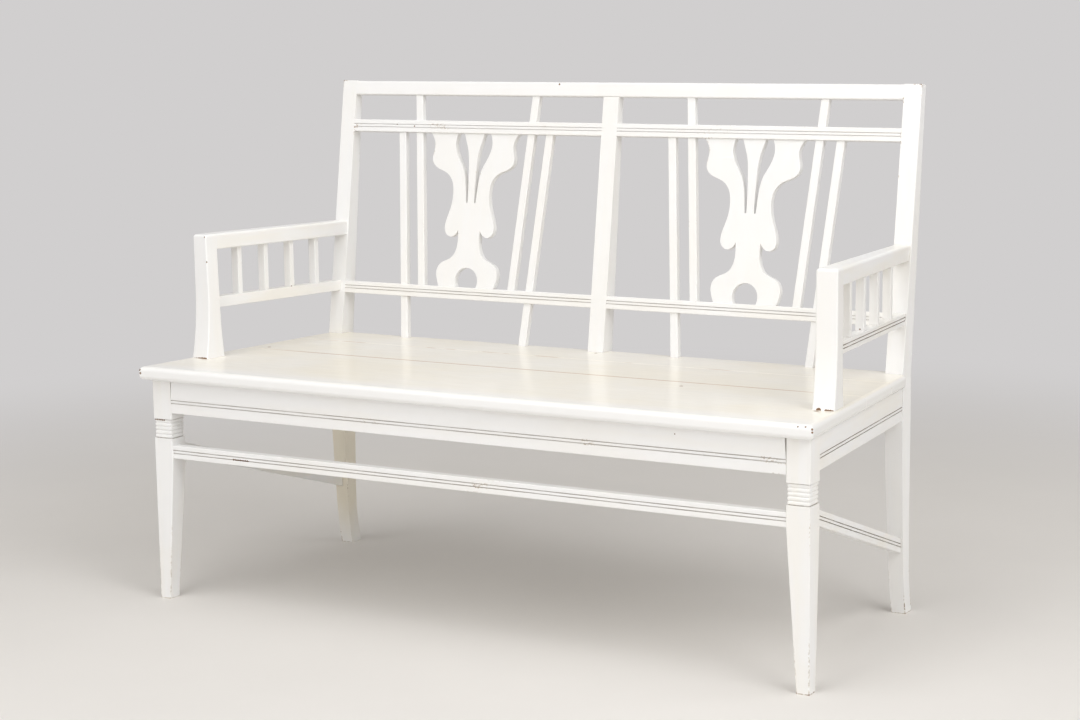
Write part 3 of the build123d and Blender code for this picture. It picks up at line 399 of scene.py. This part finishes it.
def turned_birch(name):
    """Birch dowel, turned and left bare: pale, matt and finely grained along its length."""
    paint = bpy.context.scene.bench_paint
    material, tree, output, mm = blank_material(name)
    sizes = along_grain("Y", 30, 0.8)
    stretched = add(tree, "ShaderNodeVectorMath", TIMES, [mm, [1 / size for size in sizes]])
    fibres = add(
        tree,
        "ShaderNodeTexNoise",
        inputs={"Vector": stretched, "Scale": 1.0, "Detail": 4.0, "Roughness": 0.55},
    )
    light = [min(1.0, channel * 1.25) for channel in paint.dowel]
    mix = add(tree, "ShaderNodeMix", COLOURS, {0: fibres, 6: (*paint.dowel, 1), 7: (*light, 1)})
    bump = add(tree, "ShaderNodeBump", inputs={"Height": fibres, "Distance": 0.1 * MM})
    shader = add(
        tree,
        "ShaderNodeBsdfPrincipled",
        inputs={"Base Color": mix.outputs[2], "Roughness": 0.6, "Normal": bump},
    )
    tree.links.new(shader.outputs[0], output.inputs["Surface"])
    return material


def finish_nodes(names, material):
    """Gives a material to every slot of some pieces of the frame."""
    for name in names:
        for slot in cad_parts[name].material_slots:
            slot.material = material


def both(*names):
    """The left and right pieces of some names."""
    return [f"{name}_{hand}" for name in names for hand in ("left", "right")]


# Operators, one for each group of like pieces


class BenchOperator:
    """What the operators share."""

    bl_options = {"REGISTER", "UNDO"}

    @classmethod
    def poll(cls, context):
        return context.scene is not None


class BENCH_OT_seat(BenchOperator, bpy.types.Operator):
    """Paints the seat's three boards, with its worn front corners and filled nail holes"""

    bl_idname = "bench.seat"
    bl_label = "Seat boards"

    def execute(self, context):
        corners = [
            (654, -308, 441, 2.4),
            (667, -308, 442, 2.6),
            (679, -309, 439, 3.2),
            (679, -309, 434, 2.6),
            (-678, -309, 439, 3.6),
            (-676, -310, 433, 3.4),
        ]
        nails = [
            (326, -65, SEAT_TOP, 5.5),
            (8, 202, SEAT_TOP, 5),
            (-611, -4, SEAT_TOP, 5.5),
            (633, -188, SEAT_TOP, 7),
        ]
        material = brushed_enamel(
            "rubbed_enamel_on_seat",
            "X",
            context.scene.bench_paint.seat_roughness,
            specks=corners + nails,
            yellowed=0.9,
            seams=[(-25.8, 2.5, 1.0), (124.2, 1.8, 0.4)],
            ridged=0.15,
            streaked=0.15,
            # less yellow along the front edge and down the nosing
            whiter_front_edge=(-306, SEAT_TOP),
            evenly=0.6,
        )
        finish_nodes(["seat_front_board", "seat_middle_board", "seat_rear_board"], material)
        return {"FINISHED"}


class BENCH_OT_legs(BenchOperator, bpy.types.Operator):
    """Paints the reeded front legs, worn at the feet"""

    bl_idname = "bench.legs"
    bl_label = "Front legs"

    def execute(self, context):
        worn = [(-638, -288, 40, 80), (667, -288, 30, 80)]
        groove = [(x, -287, 343, 3.2) for x in range(-664, -640, 4)]
        material = brushed_enamel(
            "brushed_enamel_on_legs",
            "Z",
            worn=worn,
            specks=groove,
            yellowed=0.25,
        )
        finish_nodes(both("front_leg"), material)
        return {"FINISHED"}


class BENCH_OT_posts(BenchOperator, bpy.types.Operator):
    """Paints the three posts of the back"""

    bl_idname = "bench.posts"
    bl_label = "Back posts"

    def execute(self, context):
        worn = [(625, 250, 10, 40), (-625, 250, 10, 40), (625, 290, 950, 22), (-625, 290, 950, 18)]
        material = brushed_enamel(
            "brushed_enamel_on_posts",
            "Z",
            worn=worn,
            yellowed=0.15,
            # painted warm shade: the back left leg under the seat is yellowed all over
            shaded_yellowing=[(-600, 240, 220, 260)],
        )
        finish_nodes(both("back_post") + ["centre_back_post"], material)
        return {"FINISHED"}


class BENCH_OT_rails(BenchOperator, bpy.types.Operator):
    """Paints the rails, aprons and stretcher that run along the bench"""

    bl_idname = "bench.rails"
    bl_label = "Long rails"

    def execute(self, context):
        worn = [(-116, 290, 955, 24), (300, 290, 955, 30), (-430, 290, 955, 16)]
        upper_specks = [(-489, 280, 869, 2.6), (-446, 277, 866, 2.4), (-116, 290, 951, 2.8)]
        streak = [(x, -284, 282, 4) for x in range(-484, -448, 4)]
        aprons = ["front_apron", "rear_apron", "front_stretcher"]
        # how strongly corners and grooves are darkened for each group, as dirt and as painted shade
        for name, pieces, specks, grime_and_shade_level, yellowed in (
            ("upper_rails", ["top_rail"] + both("upper_cross_rail"), upper_specks, 0.25, 0.15),
            ("lower_cross_rails", both("lower_cross_rail"), (), 0.5, 0.25),
            ("aprons", aprons, streak + [(427, -288, 407, 1.8)], 0.7, 0.15),
        ):
            material = brushed_enamel(
                f"brushed_enamel_on_{name}",
                "X",
                worn=worn,
                specks=specks,
                yellowed=yellowed,
                grime_and_shade_level=grime_and_shade_level,
            )
            finish_nodes(pieces, material)
        return {"FINISHED"}


class BENCH_OT_sides(BenchOperator, bpy.types.Operator):
    """Paints the rails that run from front to back, and the bearer under the seat"""

    bl_idname = "bench.sides"
    bl_label = "Side rails"

    def execute(self, context):
        specks = [(646, -70, 224, 3.5), (650, -47, 562, 3)]
        # the strongest dirt and painted shade in their corners
        material = brushed_enamel("brushed_enamel_on_sides", "Y", specks=specks, grime_and_shade_level=1.0)
        names = both("side_apron", "side_stretcher", "arm_rest", "arm_lower_rail")
        finish_nodes(names + ["seat_bearer"], material)
        return {"FINISHED"}


class BENCH_OT_uprights(BenchOperator, bpy.types.Operator):
    """Paints the slats of the back, the arm posts and their balusters"""

    bl_idname = "bench.uprights"
    bl_label = "Slats and arm posts"

    def execute(self, context):
        specks = [
            (-630, -166, 675, 2.4),
            (-627, -166, 628, 2.4),
            (-656, -166, 571, 2.6),
            (635, -10, 556, 2.4),
            (-618, 83, 555, 2.8),
            (-630, -73, 556, 2.8),
        ]
        # old polish drawn into the joint under the arm posts
        right_foot = [(x, -180, SEAT_TOP, 4.5) for x in range(646, 662, 4)]
        right_foot.append((634, -181, SEAT_TOP, 7))
        left_foot = [(x, -181, SEAT_TOP, 4.5) for x in range(-658, -624, 4)]
        material = brushed_enamel(
            "brushed_enamel_on_slats",
            "Z",
            specks=specks + right_foot + left_foot,
            yellowed=0.15,
        )
        slats = [f"back_slat_{number}" for number in range(1, 9)]
        balusters = [f"arm_baluster_{number}" for number in range(1, 5)]
        finish_nodes(slats + both("arm_post", *balusters), material)
        return {"FINISHED"}


class BENCH_OT_splats(BenchOperator, bpy.types.Operator):
    """Paints the two fretted splats and eases their sawn edges"""

    bl_idname = "bench.splats"
    bl_label = "Splats"

    def execute(self, context):
        material = brushed_enamel("brushed_enamel_on_splats", "Z", yellowed=0.1)
        finish_nodes(both("splat"), material)
        for name in both("splat"):
            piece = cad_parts[name]
            weld = piece.modifiers.new("joined facets", "WELD")
            weld.merge_threshold = 0.01 * MM
            easing = piece.modifiers.new("eased edges", "BEVEL")
            easing.width = context.scene.bench_paint.splat_easing
            easing.segments = 3
            easing.limit_method = "ANGLE"
            easing.angle_limit = math.radians(50)
            easing.harden_normals = True
        return {"FINISHED"}


class BENCH_OT_dowels(BenchOperator, bpy.types.Operator):
    """Leaves the hidden dowels bare"""

    bl_idname = "bench.dowels"
    bl_label = "Dowels"

    def execute(self, context):
        finish_nodes(["seat_front_dowels", "seat_rear_dowels"], turned_birch("bare_turned_birch"))
        return {"FINISHED"}


class BENCH_OT_stage(BenchOperator, bpy.types.Operator):
    """Builds the floor, the soft light and the camera"""

    bl_idname = "bench.stage"
    bl_label = "Stage"

    def execute(self, context):
        stage = context.scene.bench_stage
        self.lay_floor(stage)
        self.light(context.scene, stage)
        self.stand_camera(context.scene, stage)
        return {"FINISHED"}

    def lay_floor(self, stage):
        """Lays a wide matt floor that fades to the backdrop's colour a few metres out."""
        radius, corners = 14.0, 96
        mesh = bpy.data.meshes.new("floor")
        turns = [2 * math.pi * i / corners for i in range(corners)]
        rim = [(radius * math.cos(turn), radius * math.sin(turn), 0) for turn in turns]
        mesh.from_pydata(rim, [], [list(range(corners))])
        floor = bpy.data.objects.new("floor", mesh)
        bpy.context.collection.objects.link(floor)
        mesh.materials.append(self.sealed_concrete(stage))

    def sealed_concrete(self, stage):
        """Trowelled concrete, sealed matt: a pale even grey with faint clouding."""
        material, tree, output, mm = blank_material("matt_sealed_concrete")
        cloud = 1 / 420  # clouds are about 420 mm wide
        stretched = add(tree, "ShaderNodeVectorMath", TIMES, [mm, (cloud, cloud, cloud)])
        clouds = add(
            tree,
            "ShaderNodeTexNoise",
            inputs={"Vector": stretched, "Scale": 1.0, "Detail": 5.0, "Roughness": 0.55},
        )
        darker = [channel * 0.94 for channel in stage.floor]
        mix = add(
            tree, "ShaderNodeMix", COLOURS, {0: clouds, 6: (*darker, 1), 7: (*stage.floor, 1)}
        )
        matt = add(
            tree,
            "ShaderNodeBsdfPrincipled",
            inputs={"Base Color": mix.outputs[2], "Roughness": 0.7},
        )
        far = add(tree, "ShaderNodeEmission", inputs=[(*stage.backdrop, 1), 1.0])
        # the fade is only for the eye, and lights nothing
        eye = add(tree, "ShaderNodeLightPath").outputs["Is Camera Ray"]
        place = add(tree, "ShaderNodeTexCoord").outputs["Object"]
        distance = add(tree, "ShaderNodeVectorMath", {"operation": "LENGTH"}, [place])
        fade_from, fade_to = 1.1, 3.2  # metres from the middle of the bench
        ramp = [distance.outputs["Value"], fade_from, fade_to, 0.0, 1.0]
        faded = add(tree, "ShaderNodeMapRange", EASED, ramp)
        faded = add(tree, "ShaderNodeMath", TIMES, [faded, eye])
        mixed = add(tree, "ShaderNodeMixShader", inputs=[faded, matt, far])
        tree.links.new(mixed.outputs[0], output.inputs["Surface"])
        return material

    def light(self, scene, stage):
        """Builds light from all round, and soft lamps in front, at the right and overhead."""
        world = bpy.data.worlds.new("studio")
        scene.world = world
        world.use_nodes = True
        tree = world.node_tree
        tree.nodes.clear()
        # the backdrop is what the eye sees, and what the gloss reflects
        path = add(tree, "ShaderNodeLightPath").outputs
        seen = add(tree, "ShaderNodeMath", PLUS, [path["Is Camera Ray"], path["Is Glossy Ray"]])
        soft = add(
            tree, "ShaderNodeBackground", inputs=[(*stage.world_colour, 1), stage.world_level]
        )
        backdrop = add(tree, "ShaderNodeBackground", inputs=[(*stage.backdrop, 1), 1.0])
        mixed = add(tree, "ShaderNodeMixShader", inputs=[seen, soft, backdrop])
        add(tree, "ShaderNodeOutputWorld", inputs=[mixed])
        middle = Vector((0, 0, 0.45))  # where every lamp aims, in metres
        for name, place, size, power in (
            ("key", (-0.9, -2.4, 3.5), 3.2, stage.key_power),
            ("front", (0.1, -4.6, 2.1), 3.0, stage.front_power),
            ("near right", (3.2, -2.9, 3.2), 3.0, stage.near_power),
            ("right", (4.5, -1.6, 4.2), 3.6, stage.right_power),
            ("side", (4.5, 1.6, 2.6), 3.0, stage.side_power),
            ("top", (0.2, -0.5, 4.0), 3.0, stage.top_power),
        ):
            lamp = bpy.data.lights.new(name, "AREA")
            lamp.shape, lamp.size, lamp.energy = "DISK", size, power
            holder = bpy.data.objects.new(name, lamp)
            holder.location = place
            aim = middle - Vector(place)
            holder.rotation_euler = aim.to_track_quat("-Z", "Y").to_euler()
            bpy.context.collection.objects.link(holder)
        scene.view_settings.view_transform = "Standard"

    def stand_camera(self, scene, stage):
        """Stands a long lens about 1.07 m up, to the right of the front."""
        yaw, pitch, roll = (math.radians(angle) for angle in (29.09, 9.01, -0.54))
        ahead = Vector(
            (-math.sin(yaw) * math.cos(pitch), math.cos(yaw) * math.cos(pitch), -math.sin(pitch))
        )
        level = Vector((math.cos(yaw), math.sin(yaw), 0))
        upward = level.cross(ahead)
        right = math.cos(roll) * level + math.sin(roll) * upward
        top = math.cos(roll) * upward - math.sin(roll) * level
        lens = bpy.data.cameras.new("camera")
        lens.sensor_width = 36.0
        lens.lens = stage.focal_length
        lens.shift_x = -0.05514
        lens.shift_y = 0.0062
        lens.clip_start, lens.clip_end = 0.1, 100.0
        camera = bpy.data.objects.new("camera", lens)
        place = Matrix.Translation((2.0256, -3.4106, 1.0749))
        camera.matrix_world = place @ Matrix((right, top, -ahead)).transposed().to_4x4()
        bpy.context.collection.objects.link(camera)
        scene.camera = camera


OPERATORS = (
    BENCH_OT_seat,
    BENCH_OT_legs,
    BENCH_OT_posts,
    BENCH_OT_rails,
    BENCH_OT_sides,
    BENCH_OT_uprights,
    BENCH_OT_splats,
    BENCH_OT_dowels,
    BENCH_OT_stage,
)


class BENCH_PT_sidebar(bpy.types.Panel):
    """Lists the bench's sizes, colours and operators"""

    bl_idname = "BENCH_PT_sidebar"
    bl_label = "Painted bench"
    bl_space_type = "VIEW_3D"
    bl_region_type = "UI"
    bl_category = "Bench"

    def draw(self, context):
        column = self.layout.column()
        for group in (context.scene.bench_paint, context.scene.bench_stage):
            for name in group.bl_rna.properties.keys():
                if name not in ("rna_type", "name"):
                    column.prop(group, name)
        for operator in OPERATORS:
            column.operator(operator.bl_idname)


CLASSES = (BenchPaint, BenchStage, *OPERATORS, BENCH_PT_sidebar)


def register():
    """Registers the classes and hangs the settings on the scene."""
    for cls in CLASSES:
        bpy.utils.register_class(cls)
    bpy.types.Scene.bench_paint = bpy.props.PointerProperty(type=BenchPaint)
    bpy.types.Scene.bench_stage = bpy.props.PointerProperty(type=BenchStage)


def unregister():
    """Undoes register."""
    del bpy.types.Scene.bench_stage
    del bpy.types.Scene.bench_paint
    for cls in reversed(CLASSES):
        bpy.utils.unregister_class(cls)


def main():
    """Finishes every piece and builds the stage."""
    register()
    for operator in OPERATORS:
        getattr(bpy.ops.bench, operator.bl_idname.split(".")[1])()


if __name__ == "__main__":
    main()
